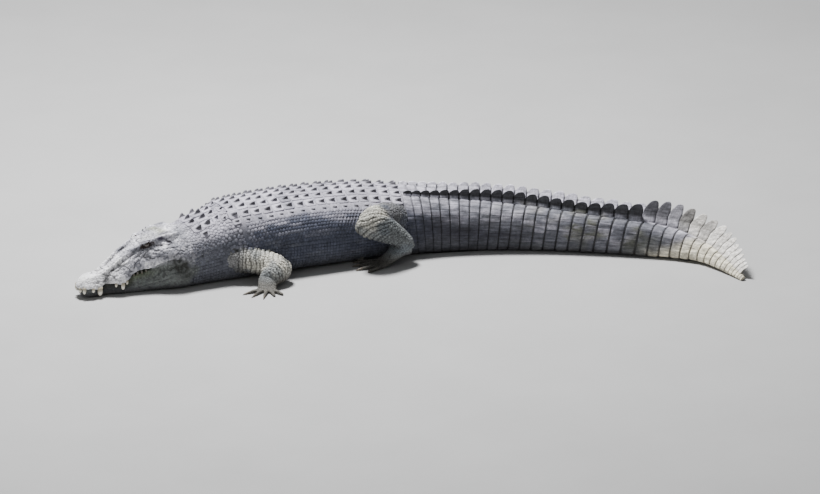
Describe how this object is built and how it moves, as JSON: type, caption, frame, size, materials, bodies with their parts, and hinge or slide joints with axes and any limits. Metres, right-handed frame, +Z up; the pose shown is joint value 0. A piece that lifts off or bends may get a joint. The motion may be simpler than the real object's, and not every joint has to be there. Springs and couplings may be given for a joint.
{
  "type": "crocodile figure",
  "caption": "Life-size figure of a large saltwater crocodile lying at rest, its legs folded out to the sides and its keeled tail curved round.",
  "frame": {"origin": "on the floor, under the middle of the animal's bounding box", "axes": "+Z up; the head points towards -X and the animal's left side faces -Y"},
  "size_m": [4.0678, 1.3191, 0.444],
  "materials": {
    "hide_head": "dry scaly hide of the head",
    "hide_body": "dry scaly hide of neck and trunk",
    "hide_leg": "dry scaly hide of the legs",
    "hide_tail": "dry scaly hide of the tail",
    "claw": "dull horn",
    "eye": "wet and glossy"
  },
  "bodies": {
    "root": {"head": "hide_head", "lower_jaw": "hide_head", "eye_left": "eye", "eye_right": "eye", "neck": "hide_body", "trunk_front": "hide_body", "trunk_middle": "hide_body", "trunk_rear": "hide_body", "tail_1": "hide_tail", "tail_2": "hide_tail", "tail_3": "hide_tail", "tail_4": "hide_tail", "tail_5": "hide_tail", "tail_6": "hide_tail", "upper_arm_left": "hide_leg", "forearm_left": "hide_leg", "hand_left": "hide_leg", "thigh_left": "hide_leg", "shank_left": "hide_leg", "foot_left": "hide_leg", "claw_front_left_1": "claw", "claw_front_left_2": "claw", "claw_front_left_3": "claw", "claw_hind_left_1": "claw", "claw_hind_left_2": "claw", "claw_hind_left_3": "claw", "upper_arm_right": "hide_leg", "forearm_right": "hide_leg", "hand_right": "hide_leg", "thigh_right": "hide_leg", "shank_right": "hide_leg", "foot_right": "hide_leg", "claw_front_right_1": "claw", "claw_front_right_2": "claw", "claw_front_right_3": "claw", "claw_hind_right_1": "claw", "claw_hind_right_2": "claw", "claw_hind_right_3": "claw"}
  },
  "joints": []
}
